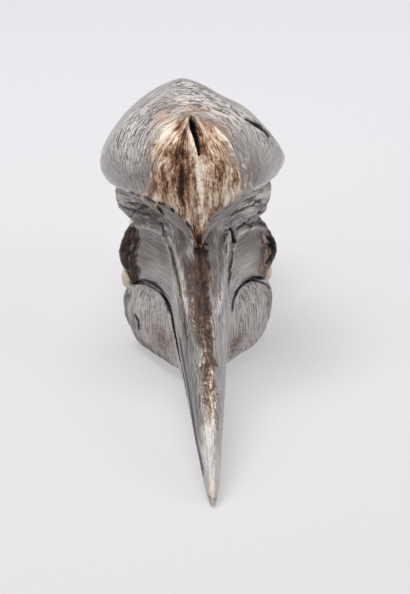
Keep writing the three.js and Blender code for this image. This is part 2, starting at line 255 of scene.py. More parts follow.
class Skin:
    """A mesh with its points in millimetres."""

    def __init__(self, mesh, side=None, share=None):
        self.mesh = mesh
        self.side = side
        self.share = share
        self.read()

    def read(self):
        flat = np.empty(len(self.mesh.vertices) * 3)
        self.mesh.vertices.foreach_get("co", flat)
        self.points = flat.reshape(-1, 3) / MM
        self.mesh.vertices.foreach_get("normal", flat)
        self.normals = flat.reshape(-1, 3).copy()
        self.station = self.points[:, 1] + SKULL_LENGTH / 2
        self.pixels = front_view(self.points)
        self.towards = self.normals @ np.array(towards_eye)
        self.facing = smoothstep(self.towards, 0.0, 0.2)

    def move(self, points):
        self.mesh.vertices.foreach_set("co", (points * MM).ravel())
        self.mesh.update()
        self.read()

    def swell(self, height):
        """Moves each point out along its normal by a height in millimetres, but never into the floor."""
        moved = self.points + self.normals * np.reshape(height, (-1, 1))
        moved[:, 2] = np.maximum(moved[:, 2], 0)
        self.move(moved)

    def dent(self, centre, half):
        """Presses the points inside an ellipsoid out to its skin, as a hollow."""
        x, station, z = centre
        place = np.array((x, station - SKULL_LENGTH / 2, z))
        offset = (self.points - place) / np.array(half)
        reach = np.maximum(np.linalg.norm(offset, axis=1), 1e-6)
        pushed = place + offset / reach[:, None] * np.array(half)
        self.move(np.where((reach < 1)[:, None], pushed, self.points))

    def smooth(self, times):
        work = bmesh.new()
        work.from_mesh(self.mesh)
        axes = {"use_axis_x": True, "use_axis_y": True, "use_axis_z": True}
        for _ in range(times):
            bmesh.ops.smooth_vert(work, verts=work.verts, factor=0.5, **axes)
        work.to_mesh(self.mesh)
        work.free()
        self.read()

    def hollows(self, times=4):
        """How deep each point lies below its neighbours, from -1 to 1 for a deep hollow."""
        ends = np.empty(len(self.mesh.edges) * 2, int)
        self.mesh.edges.foreach_get("vertices", ends)
        first, second = ends[0::2], ends[1::2]
        count = np.bincount(ends, minlength=len(self.points))[:, None]
        middle = self.points.copy()
        both = np.concatenate((first, second))
        other = np.concatenate((second, first))
        for _ in range(times):
            total = [np.bincount(both, axis[other], len(count)) for axis in middle.T]
            middle = np.stack(total, axis=1) / count
        depth = np.einsum("ij,ij->i", middle - self.points, self.normals)
        return np.clip(depth / DEEP_HOLLOW, -1, 1)

    def behind(self, start, end):
        """Rises from 0 at one station to 1 at another."""
        return smoothstep(self.station, start, end)

    def ahead(self, start, end):
        """Falls from 1 at one station to 0 at another."""
        return fade(self.station, start, end)

    def mark(self, **layers):
        """Stores each layer as an attribute: a number, or an array of numbers or of vectors."""
        for name, values in layers.items():
            values = np.asarray(values, np.float32)
            if values.ndim == 0:
                values = np.full(len(self.points), values)
            kind, field = ("FLOAT", "value") if values.ndim == 1 else ("FLOAT_VECTOR", "vector")
            self.mesh.attributes.new(name, kind, "POINT").data.foreach_set(field, values.ravel())


# %% Lofted skin
def loft(name, rings, sides, place):
    """A closed skin: a sphere whose points go where place(reach, side, share) puts them.
    Reach runs from the front end to the rear, and share from the top of a section to its bottom."""
    ball = bmesh.new()
    bmesh.ops.create_uvsphere(ball, u_segments=sides, v_segments=rings, radius=1)
    mesh = bpy.data.meshes.new(name)
    ball.to_mesh(mesh)
    flat = np.empty(len(mesh.vertices) * 3)
    mesh.vertices.foreach_get("co", flat)
    x, y, z = flat.reshape(-1, 3).T
    reach = np.arccos(np.clip(z, -1, 1)) / np.pi
    side = np.where(x >= 0, 1.0, -1.0)
    share = np.abs(np.arctan2(x, y)) / np.pi
    across, station, height = place(reach, side, share)
    points = np.stack((across, station - SKULL_LENGTH / 2, height), axis=1)
    mesh.vertices.foreach_set("co", (points * MM).ravel())
    ball.free()
    shell = bmesh.new()
    shell.from_mesh(mesh)
    bmesh.ops.recalc_face_normals(shell, faces=shell.faces)
    shell.to_mesh(mesh)
    shell.free()
    return Skin(mesh, side, share)


# %% [markdown]
# ## Drawing on a skin
# Cracks, ridges and worn edges, and painted shade and painted highlights, are drawn as short lines,
# outlines and spots in the photograph's pixels.
# Each helper gives every point of a skin a number, and most of them count only where the skin faces us.
# Cloud noise from Blender's own library, always with the same seed, frays the edges so that nothing looks
# ruled.


# %% Drawing helpers
def clouds(points, size, octaves=3, seed=0):
    """Cloud noise, about -1 to 1, with lumps of a size in the points' own unit."""
    spots = (np.asarray(points) / np.asarray(size, float) + 31.7 * (seed + 1)).tolist()
    return np.array([noise.fractal(spot, 1.0, 2.0, octaves) for spot in spots])


def swaying(points, size, seed):
    """Two clouds for each point, to push its pixel about with."""
    return np.stack([clouds(points, size, 4, seed + k) for k in range(2)], axis=1)


def to_line(pixels, path):
    """Each pixel's distance from a drawn line, below zero on its left, and the share of the line there."""
    corners = np.array(path, float)
    nearest = np.full(len(pixels), np.inf)
    signed = np.zeros(len(pixels))
    share = np.zeros(len(pixels))
    for k, (start, end) in enumerate(zip(corners, corners[1:])):
        run = end - start
        t = np.clip((pixels - start) @ run / (run @ run), 0, 1)
        off = pixels - start - t[:, None] * run
        distance = np.hypot(off[:, 0], off[:, 1])
        closer = distance < nearest
        turn = np.where(run[0] * off[:, 1] - run[1] * off[:, 0] >= 0, 1, -1)
        nearest = np.where(closer, distance, nearest)
        signed = np.where(closer, turn * distance, signed)
        share = np.where(closer, (k + t) / (len(corners) - 1), share)
    return signed, share


def bell(offset, width):
    """1 at an offset of zero, falling off smoothly within about twice the width."""
    return np.exp(-((offset / width) ** 2))


def most(*masks):
    return np.clip(np.max(masks, axis=0), 0, 1)


def stroke(pixels, path, width):
    """A soft line of a half width in pixels, fading at both ends."""
    signed, share = to_line(pixels, path)
    return bell(signed, width) * smoothstep(share, 0, 0.08) * fade(share, 0.92, 1)


def strokes(pixels, paths, width):
    return most(*(stroke(pixels, path, width) for path in paths))


def inside(pixels, outline, soft):
    """1 inside an outline and 0 outside it, soft by some pixels at its edge."""
    corners = np.array(outline, float)
    closed = np.vstack((corners, corners[:1]))
    distance = np.abs(to_line(pixels, closed)[0])
    x, y = pixels.T
    odd = np.zeros(len(pixels), bool)
    for (x0, y0), (x1, y1) in zip(closed, closed[1:]):
        if y0 != y1:
            crosses = (y0 > y) != (y1 > y)
            odd ^= crosses & (x < x0 + (y - y0) * (x1 - x0) / (y1 - y0))
    return smoothstep(np.where(odd, distance, -distance), -soft, soft)


def insides(pixels, outlines, soft):
    return most(*(inside(pixels, outline, soft) for outline in outlines))


def blots(pixels, spots):
    """Soft oval spots, each a strength, a centre, half sizes in pixels and perhaps a lean in degrees."""
    total = np.zeros(len(pixels))
    for strength, centre, half, *lean in spots:
        turn = math.radians(sum(lean))
        dx, dy = (pixels - np.array(centre)).T
        long = dx * math.cos(turn) + dy * math.sin(turn)
        wide = dy * math.cos(turn) - dx * math.sin(turn)
        total += strength * bell(long, half[0]) * bell(wide, half[1])
    return np.clip(total, -1, 1)


# %% [markdown]
# ## Shader sums
# Node trees are hard to read as lists of links. A thin wrapper round a socket lets a sum be written as a
# sum: each operator adds one Math node. Everything else goes through one method that names the node, its
# settings and its inputs.


# %% Shader helpers
class Wire:
    """A socket that can be used in sums."""

    def __init__(self, finish, socket):
        self.finish = finish
        self.socket = socket

    def sum(self, operation, first, second):
        return self.finish.node("Math", {"operation": operation}, {0: first, 1: second})

    def __add__(self, other):
        return self.sum("ADD", self, other)

    def __radd__(self, other):
        return self.sum("ADD", other, self)

    def __sub__(self, other):
        return self.sum("SUBTRACT", self, other)

    def __rsub__(self, other):
        return self.sum("SUBTRACT", other, self)

    def __mul__(self, other):
        return self.sum("MULTIPLY", self, other)

    def __rmul__(self, other):
        return self.sum("MULTIPLY", other, self)

    def __abs__(self):
        return self.finish.node("Math", {"operation": "ABSOLUTE"}, {0: self})


BUMP_METRES = 0.0004


class Finish:
    """A material and the nodes that make it."""

    def __init__(self, name):
        self.material = bpy.data.materials.new(name)
        self.material.use_nodes = True
        self.tree = self.material.node_tree
        self.tree.nodes.clear()

    def node(self, kind, settings, inputs, output=0):
        made = self.tree.nodes.new("ShaderNode" + kind)
        for key, value in settings.items():
            if key == "stops":
                ramp = made.color_ramp.elements
                while len(ramp) < len(value):
                    ramp.new(1)
                for stop, (place, colour) in zip(ramp, value):
                    stop.position = place
                    stop.color = (*colour, 1)
            else:
                setattr(made, key, value)
        for key, value in inputs.items():
            if isinstance(value, Wire):
                self.tree.links.new(value.socket, made.inputs[key])
            else:
                made.inputs[key].default_value = value
        return Wire(self, made.outputs[output]) if made.outputs else None

    def marked(self, name, output="Fac"):
        return self.node("Attribute", {"attribute_name": name}, {}, output)

    def clouds(self, vector, scale, detail=3, roughness=0.55):
        inputs = {0: vector, "Scale": scale, "Detail": detail, "Roughness": roughness}
        return self.node("TexNoise", {}, inputs)

    def streaks(self, vector, wide, long, detail=2, roughness=0.6):
        """Clouds drawn out along the third axis of a vector."""
        scale = (wide, wide, long)
        drawn = self.node("VectorMath", {"operation": "MULTIPLY"}, {0: vector, 1: scale})
        return self.clouds(drawn, 1.0, detail, roughness)

    def step(self, value, low, high):
        inputs = {"Value": value, "From Min": low, "From Max": high}
        return self.node("MapRange", {"interpolation_type": "SMOOTHSTEP"}, inputs)

    def mix(self, share, first, second):
        colours = [c if isinstance(c, Wire) else (*c, 1) for c in (first, second)]
        return self.node("Mix", {"data_type": "RGBA"}, {0: share, 6: colours[0], 7: colours[1]}, 2)

    def ramp(self, value, *stops):
        return self.node("ValToRGB", {"stops": stops}, {"Fac": value}, "Color")

    def done(self, colour, roughness, height, **more):
        bump = {"Height": height, "Distance": BUMP_METRES, "Strength": 1.0}
        normal = self.node("Bump", {}, bump, "Normal")
        inputs = {"Base Color": colour, "Roughness": roughness, "Normal": normal, **more}
        surface = self.node("BsdfPrincipled", {}, inputs)
        self.node("OutputMaterial", {}, {"Surface": surface})
        return self.material


# %% [markdown]
# ## Horn
# The sheath of a bill is keratin, like a fingernail: grey, a little glossy, with fine streaks along the
# way it grew. Where it is worn it splits into fibres that go from dark brown over rust to cream. One finish
# does for casque and bill, and reads marks from the skin. Worn says where the fibres show, tone how pale
# they are and fray how mixed. Dark is an open crack, and also painted shade in the gap of the mouth. The
# mark of dirt and shade is settled dirt together with painted shade in creases, hollows and under
# overhangs, and orange is a rusty stain. The mark of rubbed edges and highlights is an edge that is rubbed
# light together with painted highlights on ridges, rims and lit sides, and dashes are the short dark
# streaks. Grain and fibre run with the growth.

# %% Horn finish
FAN_TONES = (
    (0.0, (0.014, 0.009, 0.006)),
    (0.22, (0.06, 0.032, 0.02)),
    (0.42, (0.2, 0.095, 0.055)),
    (0.58, (0.42, 0.27, 0.18)),
    (0.76, (0.64, 0.52, 0.4)),
    (1.0, (0.82, 0.74, 0.63)),
)
STRIPE_TONES = (
    (0.0, (0.014, 0.01, 0.008)),
    (0.25, (0.046, 0.03, 0.025)),
    (0.45, (0.115, 0.066, 0.048)),
    (0.62, (0.27, 0.205, 0.16)),
    (0.8, (0.56, 0.48, 0.4)),
    (1.0, (0.8, 0.74, 0.66)),
)
# Black of open cracks, and also of the painted shade in the gap between the bills
CRACK_AND_SHADE_BLACK = (0.006, 0.005, 0.005)
DASH_BLACK = (0.03, 0.021, 0.018)
# Brown of settled dirt, and also of painted shade in creases, hollows and under overhangs
DIRT_AND_SHADE_BROWN = (0.03, 0.023, 0.019)
RUST = (0.38, 0.17, 0.085)
FLECK_WHITE = (0.72, 0.68, 0.66)
# White of edges rubbed light, and also of painted highlights on ridges, rims and lit sides
RUBBED_AND_HIGHLIGHT_WHITE = (0.76, 0.71, 0.68)


def horn(name, tones, spread, fibre_tones, soft):
    """Horn in three greys, mixed softly if spread is large. Worn fibres fade in between soft's limits."""
    finish = Finish(name)
    grain = finish.marked("grain", "Vector")
    fibre = finish.marked("fibre", "Vector")
    broad = finish.streaks(grain, 0.13, 0.035, 2, 0.5)
    fine = finish.streaks(grain, 1.5, 0.13)
    thin = finish.streaks(grain, 2.1, 0.11, 1, 0.5)
    thread = finish.streaks(grain, 0.6, 0.06, 2, 0.5)
    strand = finish.streaks(fibre, 0.5, 0.06, 3)
    hair = finish.streaks(fibre, 1.6, 0.16)
    crumb = finish.streaks(fibre, 1.2, 0.8)
    streak = broad * 0.35 + fine * 0.65
    grey = finish.ramp(streak, *zip((0.5 - spread, 0.5, 0.5 + spread), tones))
    split = 1 - finish.step(abs(thread - 0.5), 0.001, 0.012)
    dashes = finish.marked("dashes") * 0.85
    dash = (finish.step(thin, 0.56, 0.61) + split * 0.7) * dashes
    grime = finish.marked("grime")
    pale = finish.marked("pale")
    grey = finish.mix(finish.step(thin, 0.43, 0.37) * dashes * 0.4, grey, FLECK_WHITE)
    grey = finish.mix(finish.marked("orange") * finish.step(fine, 0.4, 0.6), grey, RUST)
    # Settled dirt and painted shade darken the grey towards brown
    grey = finish.mix(grime * (0.5 + broad), grey, DIRT_AND_SHADE_BROWN)
    # Rubbed edges and painted highlights lighten the grey
    grey = finish.mix(pale * (0.5 + fine), grey, RUBBED_AND_HIGHLIGHT_WHITE)
    grey = finish.mix(dash, grey, DASH_BLACK)
    frayed = ((strand - 0.5) * 1.3 + (hair - 0.5) * 1.0 + (crumb - 0.5) * 0.7) * finish.marked("fray")
    fibres = finish.ramp(finish.marked("tone") + frayed, *fibre_tones)
    shown = finish.step(finish.marked("worn") + frayed * 0.7, *soft)
    colour = finish.mix(shown, grey, fibres)
    # Cracks, and the painted shade of the mouth's gap, turn black
    dark = finish.step(finish.marked("dark"), 0.08, 0.7)
    colour = finish.mix(dark, colour, CRACK_AND_SHADE_BLACK)
    roughness = 0.34 + 0.16 * broad + 0.34 * shown
    height = streak * 0.25 * (1 - shown) + (strand + hair * 0.6 + crumb * 0.6) * shown - dash * 0.35
    coat = 0.75 * (1 - shown) * (1 - dark) * (1 - 0.8 * grime) * (1 - pale)
    gloss = {"Specular IOR Level": 0.18, "Coat Weight": coat, "Coat Roughness": 0.3}
    return finish.done(colour, roughness, height, **gloss)


CASQUE_GREYS = ((0.25, 0.229, 0.22), (0.4, 0.37, 0.355), (0.6, 0.57, 0.55))
BILL_GREYS = ((0.165, 0.15, 0.143), (0.265, 0.241, 0.231), (0.41, 0.383, 0.37))
casque_horn = horn("casque_keratin", CASQUE_GREYS, 0.14, FAN_TONES, (0.3, 0.7))
bill_horn = horn("bill_keratin", BILL_GREYS, 0.1, STRIPE_TONES, (0.25, 0.75))
print("horn finishes:", casque_horn.name, bill_horn.name)


# %% Put a piece in place
def show(name, skin, finish, slot, *nodes):
    """Makes a piece from a skin, in place of the solids it covers."""
    skin.mesh.materials.append(finish)
    skin.mesh.shade_smooth()
    made = bpy.data.objects.new(name, skin.mesh)
    bpy.context.scene.collection.objects.link(made)
    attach(made, "root")
    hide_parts(*nodes)
    print(name, len(skin.mesh.polygons), "faces for", ", ".join(nodes))


# %% [markdown]
# ## Casque
# The casque is a hollow horn on top of the bill. Its front has been rubbed through: a fan of torn fibres
# runs down to the ridge of the bill, with a black slit in it. Growth rings circle the front, and on the
# bird's left shoulder the layers have lifted in a fold. The sections are those of the solid, in a skin of
# some ninety thousand faces, and all this relief is pressed into that skin.

# %% Casque sections
CASQUE_FRONT = 91
CASQUE_REAR = 213
CASQUE_APEX = (120, 101.5)
FRONT_HEIGHT = 80
WAIST_SHARE = 0.56
RIM_SHARE = 0.84


def casque_place(reach, side, share):
    station = lerp(CASQUE_FRONT, CASQUE_REAR, (1 - np.cos(np.pi * reach**1.25)) / 2)
    front = station - CASQUE_FRONT
    rear = CASQUE_REAR - station
    behind = np.clip((station - CASQUE_APEX[0]) / (CASQUE_REAR - CASQUE_APEX[0]), 0, 1)
    crown = CASQUE_APEX[1] - 16 * behind - 25.5 * behind**5
    top = lerp(FRONT_HEIGHT, crown, quarter_round(front / 29))
    rim = lerp(FRONT_HEIGHT, rim_height(np.maximum(station, 104)), quarter_round(front / 13))
    half = 31.2 * quarter_round(front / 48) * quarter_round(rear / 66)
    rim_half = np.minimum(np.maximum(rim_spread(station), 1.6 * quarter_round(front / 9)), 0.95 * half)
    waist = lerp(rim, top, lerp(0.5, 0.17, smoothstep(station, 104, 140)))
    sunk = rim - np.minimum(rim, culmen(station) - 6) + 4
    foot = rim - sunk * quarter_round(front / 15) * quarter_round(rear / 40) * smoothstep(rim_half, 1.6, 3)

    turn = np.clip(share / WAIST_SHARE, 0, 1) * np.pi / 2
    lean = -2.5 * np.cos(turn) * smoothstep(top - waist, 0, 20)
    rise = smoothstep(station, 101, 120) * fade(station, 150, 200)
    bent = lerp(1, 1.42, rise)
    dome_x = lean + side * half * np.sin(turn) ** bent
    dome_z = lerp(waist, top, np.clip(np.cos(turn), 0, 1) ** bent)

    down = np.clip((share - WAIST_SHARE) / (RIM_SHARE - WAIST_SHARE), 0, 1)
    drawn_in = lerp(smoothstep(down, 0, 1), down**2.6, smoothstep(station, 112, 140))
    wall_x = side * lerp(half, rim_half, drawn_in)
    wall_z = lerp(waist, rim, down)

    inward = np.clip((share - RIM_SHARE) / (1 - RIM_SHARE), 0, 1)
    under_x = side * rim_half * (1 - inward)
    under_z = lerp(rim, foot, inward**2)

    on_dome = share <= WAIST_SHARE
    on_wall = share <= RIM_SHARE
    x = np.where(on_dome, dome_x, np.where(on_wall, wall_x, under_x))
    z = np.where(on_dome, dome_z, np.where(on_wall, wall_z, under_z))
    return x, station, z


casque = loft("casque_skin", 320, 272, casque_place)
print("casque skin", len(casque.points), "points")

# %% Casque lines and spots, in the photograph's pixels
WORN_FAN = [
    (191, 116), (208, 121), (219, 131), (228, 142), (232, 156), (237, 166), (245, 177), (247, 190),
    (247, 206), (230, 222), (214, 262), (184, 262), (172, 228), (148, 212), (146, 195), (146, 180),
    (148, 167), (147, 153), (151, 140), (157, 128), (168, 121), (180, 118),
]
FAN_TOP = (192, 110)
FAN_FOOT = (198, 256)
SLIT_LINE = [(191, 117), (194, 123), (198, 138), (200, 155)]
RIDGE_LINE = [(188, 128), (192, 138), (195, 153), (197, 168), (199, 187), (201, 212), (199, 236)]
FOLD_LINE = [
    (166, 84), (187, 85), (204, 91), (217, 98), (232, 106), (253, 122), (265, 130), (273, 139), (285, 151),
]
FOLD_CRACK = [(246, 116), (253, 121), (260, 125), (266, 130), (272, 138)]
ORANGE_ARC = [(151, 128), (162, 115), (180, 108), (198, 109), (214, 117), (226, 131), (230, 146)]
FAN_EDGES = [
    [(124, 190), (146, 197), (162, 203), (173, 210), (184, 220), (190, 231), (192, 246)],
    [(266, 188), (240, 198), (227, 207), (214, 217), (207, 227), (205, 246)],
]
NOSTRIL_LINES = [
    [(157, 206), (161, 210), (164, 216)],
    [(230, 227), (233, 233), (236, 243)],
]
FAN_HOLLOWS = [(1, (179, 158), (7, 12)), (0.6, (182, 132), (5, 9)), (0.5, (183, 188), (5, 16))]
FAN_SPOTS = [
    (0.25, (164, 132), (17, 15), -30), (0.16, (172, 206), (18, 8), 35), (0.12, (226, 195), (20, 10), -35),
    (0.22, (215, 148), (8, 9)), (0.28, (208, 174), (8, 14)), (0.15, (189, 172), (4, 10)),
    (0.15, (218, 154), (6, 6)), (0.15, (150, 155), (5, 7)), (0.15, (190, 163), (3, 8)),
    (0.15, (165, 183), (4, 12)), (0.15, (237, 172), (5, 8)),
    (-0.24, (214, 122), (10, 8)), (-0.2, (225, 178), (6, 8)), (-0.14, (160, 174), (13, 12)),
    (-0.28, (169, 151), (6, 11)), (-0.2, (178, 173), (5, 12)), (-0.12, (156, 176), (4, 8)),
    (-0.3, (203, 143), (4, 12)), (-0.14, (186, 214), (9, 9)), (-0.24, (204, 240), (11, 14)),
]
CASQUE_SHADES = [
    (0.45, (133, 177), (17, 15)), (0.5, (251, 170), (15, 22)), (0.5, (171, 107), (17, 7)),
    (0.45, (221, 130), (7, 9)), (0.2, (250, 182), (9, 8)), (0.2, (240, 140), (10, 15)),
]
CASQUE_LIGHTS = [(0.3, (124, 140), (14, 26)), (0.35, (202, 98), (24, 7)), (0.35, (233, 116), (18, 6))]
SHOULDER_DENT = [(-0.8, (222, 92), (20, 10))]
SMOOTH_SIDE = [(0.85, (250, 162), (21, 32))]
FAN_PATCH = [(1, (193, 247), (4, 9))]
# Rows between which the ridge of the fan turns paler
RIDGE_PALES = (145, 180)

# %% Casque relief
pixels = casque.pixels
sway = swaying(casque.points, 6, 1)
frayed = pixels + 5 * sway
front = smoothstep(casque.towards, -0.3, 0) * casque.ahead(130, 150)

# The fan and the collar of horn that frames its foot
left_of_foot = to_line(pixels + 1.2 * sway, FAN_EDGES[0])[0]
right_of_foot = -to_line(pixels + 1.2 * sway, FAN_EDGES[1])[0]
collar = most(smoothstep(left_of_foot, -2, 2), smoothstep(right_of_foot, -7, 4)) * front
from_edge = np.minimum(np.abs(left_of_foot), np.abs(right_of_foot))
over_rim = 1 - smoothstep(casque.share, 0.81, RIM_SHARE) * casque.behind(103, 108)
fan = inside(frayed, WORN_FAN, 22) * front * over_rim * (1 - collar)

# Fibres that part at the top of the fan and meet again at its foot
top_x, top_y = (pixels - np.array(FAN_TOP)).T
foot_x, foot_y = (pixels - np.array(FAN_FOOT)).T
parting = np.arctan2(top_x * foot_y - top_y * foot_x, top_x * foot_x + top_y * foot_y)
across = np.sign(parting) * (np.pi - np.abs(parting)) * 13
fibre = np.stack((across + 0.9 * sway[:, 0], 0.5 * sway[:, 1], np.hypot(foot_x, foot_y) / 3), axis=1)
strands = clouds(fibre * (1, 1, 0.16), 1.4, 4, 3)
slit_off, slit_share = to_line(pixels + 1.0 * sway, SLIT_LINE)
slit_width = 1.0 + 3.0 * np.sin(np.pi * np.clip(slit_share, 0.03, 0.97)) ** 0.7
slit = np.exp(-((slit_off / slit_width) ** 4)) * front
ridge = stroke(pixels + 4 * sway, RIDGE_LINE, 3.4) * front
hollow = blots(frayed, FAN_HOLLOWS)

# The fold on the shoulder, and the lip of the rim
fold_off, fold_share = to_line(pixels + 0.8 * sway, FOLD_LINE)
fold_reach = smoothstep(fold_share, 0.0, 0.15) * fade(fold_share, 0.85, 1)
fold_reach *= smoothstep(casque.towards, -0.15, 0.02) * casque.ahead(128, 140)
fold_groove = (bell(fold_off, 1.7) + 0.3 * bell(fold_off - 5, 1.2)) * fold_reach
fold_strip = smoothstep(-fold_off, 0.5, 3.5) * fade(-fold_off, 12, 40) * fold_reach
crack = stroke(pixels, FOLD_CRACK, 1.2) * casque.facing
rim_reach = casque.behind(109, 117) * casque.ahead(160, 195)
# The lip of the rim is raised and also gets a painted highlight
rim_lip = bell(casque.share - RIM_SHARE, 0.016) * rim_reach

# Growth rings round the middle of the front
ring = np.hypot(casque.points[:, 0], casque.points[:, 2] - FRONT_HEIGHT)
ring += 0.8 * (casque.station - CASQUE_FRONT)
around = casque.side * casque.share * np.pi * 24
grain = np.stack((ring + 0.8 * sway[:, 0], sway[:, 1], around), axis=1)

height = 0.35 * clouds(casque.points, 22, 2, 4) + 0.08 * clouds(grain * (1, 1, 0.15), 1.3, 2, 5)
height += fan * (0.7 * strands - 0.3) + blots(pixels, SHOULDER_DENT)
height += 0.8 * ridge - 1.5 * hollow * front - 4.0 * slit
height += 0.3 * fold_strip - 0.9 * fold_groove - 0.7 * crack + 0.5 * rim_lip
casque.swell(height)
print("casque relief from", round(height.min(), 2), "to", round(height.max(), 2), "mm")

# %% Casque marks
tone = 0.55 + 0.3 * clouds(fibre * (1, 1, 0.5), 4.5, 3, 6) + blots(frayed, FAN_SPOTS)
# Fibres in the fan's hollows are also painted darker, as painted shade
tone += 0.5 * ridge * lerp(0.35, 1, smoothstep(pixels[:, 1], *RIDGE_PALES)) - 0.5 * hollow
patch = blots(frayed, FAN_PATCH) * front
collar_rim = collar * fade(from_edge, 14, 32)
left_edge, right_edge = (stroke(pixels + 1.5 * sway, line, 1.9) for line in FAN_EDGES)
fan_edge = most(0.8 * left_edge, 0.4 * right_edge) * casque.facing * smoothstep(strands, -0.6, 0.3)
broken_line = smoothstep(clouds(casque.points, 5, 2, 7), -0.5, 0.3)
fold_dark = fold_groove * lerp(0.05, 0.5, broken_line)
nostril = strokes(pixels, NOSTRIL_LINES, 1.6) * casque.facing
shade = blots(pixels, CASQUE_SHADES) * front
fold_shade = 0.15 * fold_strip * fade(fold_share, 0.2, 0.45)
fold_light = 0.3 * fold_strip * smoothstep(fold_share, 0.35, 0.6)
# Painted shade on the collar of horn beside the fan's foot, fading away from its edges
collar_shade = 0.45 * collar * fade(from_edge, 8, 26)
# Painted shade in hollows and creases
crease_shade = most(0.4 * casque.hollows(), 0.5 * casque.hollows(30))
light = blots(pixels, CASQUE_LIGHTS) * front
smooth_side = most(blots(pixels, SMOOTH_SIDE) * front, 0.5 * casque.behind(125, 145))
dashes = lerp(0.45, 1, smoothstep(casque.points[:, 2], 66, 82)) * (1 - smooth_side)
casque.mark(
    grain=grain,
    fibre=fibre,
    worn=most(fan * (1 - patch), 0.4 * collar_rim),
    tone=lerp(tone, 0.4, collar_rim),
    fray=1,
    dark=most(slit, crack, fan_edge * (1 - patch), fold_dark, nostril),
    # Painted shade in creases, beside the fan's foot, in spots and along the fold
    grime=most(crease_shade, collar_shade, shade, fold_shade),
    orange=0.8 * stroke(frayed, ORANGE_ARC, 7) * front,
    # A painted highlight on the rim's lip, painted light in spots and beside the fold, and a rubbed patch
    pale=most(rim_lip, fold_light, light, 0.8 * patch),
    dashes=dashes * (1 - 0.7 * fan),
)
show("casque_sheath", casque, casque_horn, "casque_horn", "casque")

# %% [markdown]
# ## Upper bill
# The upper bill is a long tapering sheath with a ridge on top. At its base it widens into a shield on each
# side of the mouth, with rough skin-like lores above them and a slit of a nostril. A brown stripe, worn and
# flaking, follows the ridge, and two grooves with a raised line between them run forward from the shields.

# %% Upper bill sections
BILL_BASE = 178
WALL_SHARE = 0.86
CAP_START = 0.96
ORBIT_CENTRE = (25, 195, 41)
ORBIT_HALF = (17, 21, 15)
WORN_AWAY = 0.9


def upper_half_width(station, depth):
    slim = taper(station)
    widths = (
        0 * slim,
        0.52 * slim + flare(station, 20, 128, 166),
        0.72 * slim + flare(station, 18.6, 122, 162),
        0.9 * slim + flare(station, 10.9, 116, 158),
        slim + flare(station, 15.8, 106, 156),
        mouth_half_width(station),
    )
    across = cubic((0, 0.33, 0.5, 0.7, 0.86, 1), widths, depth)
    groove = bell(depth - 0.6, 0.06) * smoothstep(station, 40, 80) * fade(station, 128, 140)
    return across - 0.9 * groove - 2.5 * smoothstep(station, 160, BILL_BASE) * np.sqrt(depth)


def upper_bill_place(reach, side, share):
    station = BILL_BASE * np.clip(reach / CAP_START, 0, 1) ** 1.05
    top = culmen(station)
    bottom = np.maximum(0, cutting_edge(station))
    depth = np.clip(share / WALL_SHARE, 0, 1)
    inward = np.clip((share - WALL_SHARE) / (1 - WALL_SHARE), 0, 1)
    pointed = 1 - 0.5 * depth**3 * fade(station, 2, 10)
    x = side * upper_half_width(station, depth) * pointed * (1 - inward)
    vault = 4 * smoothstep(station, 96, 157) * np.sin(np.pi / 2 * inward)
    z = lerp(top, bottom, depth**2) + vault
    middle = (top + bottom) / 2
    rear_cap = 1 - np.clip((reach - CAP_START) / (1 - CAP_START), 0, 1)
    shrink = quarter_round(station / 3.5) * rear_cap
    return x * shrink, station, middle + (z - middle) * shrink


def fray_end(skin, start, end, reach):
    """Draws the rear end of a sheath out into uneven tongues, up to about a reach in millimetres."""
    moved = skin.points.copy()
    tongues = np.abs(clouds(skin.points * (1, 0, 1), 6, 3, 9))
    moved[:, 1] += 2 * reach * tongues * skin.behind(start, end)
    skin.move(moved)


bill = loft("upper_bill_skin", 376, 240, upper_bill_place)
fray_end(bill, 160, BILL_BASE, 3)
for flip in (-1, 1):
    bill.dent((flip * ORBIT_CENTRE[0], *ORBIT_CENTRE[1:]), ORBIT_HALF)
drawn_in = bill.points.copy()
drawn_in[:, 0] += WORN_AWAY * smoothstep(-drawn_in[:, 0], 14, 26) * fade(drawn_in[:, 2], 44, 50)
bill.move(drawn_in)
print("upper bill skin", len(bill.points), "points")

# %% Bill lines and spots, in the photograph's pixels
SHIELD_EDGES = [
    [
        (133, 231), (143, 227), (152, 229), (161, 235), (166, 244), (169, 254), (171, 265), (174, 278),
        (179, 296),
    ],
    [(266, 228), (257, 227), (248, 230), (240, 234), (236, 241), (234, 254), (232, 270), (229, 290)],
]
SHIELDS = [
    [
        (124, 232), (143, 229), (160, 236), (167, 252), (170, 272), (160, 284), (146, 279), (130, 282),
        (118, 262),
    ],
    [(276, 234), (257, 229), (241, 235), (237, 250), (236, 270), (246, 279), (262, 280), (276, 262)],
]
INNER_RIDGES = [
    [(169, 233), (175, 245), (179, 260), (182, 275), (185, 294), (188, 320)],
    [(230, 226), (227, 245), (225, 262), (223, 281), (220, 300), (217, 318)],
]
BROWN_GROOVES = [
    [(166, 240), (172, 258), (177, 277), (180, 291), (183, 308), (185, 330), (187, 352)],
    [(235, 246), (232, 262), (230, 277), (228, 293), (226, 310)],
]
LORE_OUTLINES = [
    [
        (108, 188), (130, 197), (148, 202), (160, 208), (163, 222), (158, 230), (143, 226), (130, 230),
        (112, 228),
    ],
    [(284, 182), (262, 192), (246, 200), (238, 206), (236, 222), (246, 229), (258, 226), (280, 229)],
]
LORE_FOLDS = [
    [(122, 205), (134, 208), (146, 205), (158, 207)],
    [(121, 222), (130, 226), (138, 230)],
    [(130, 196), (134, 206), (132, 220)],
    [(238, 209), (250, 205), (262, 206), (273, 203)],
    [(236, 229), (246, 225), (258, 222), (270, 224)],
    [(257, 193), (261, 205), (259, 216)],
    [(161, 220), (164, 229), (163, 237)],
]
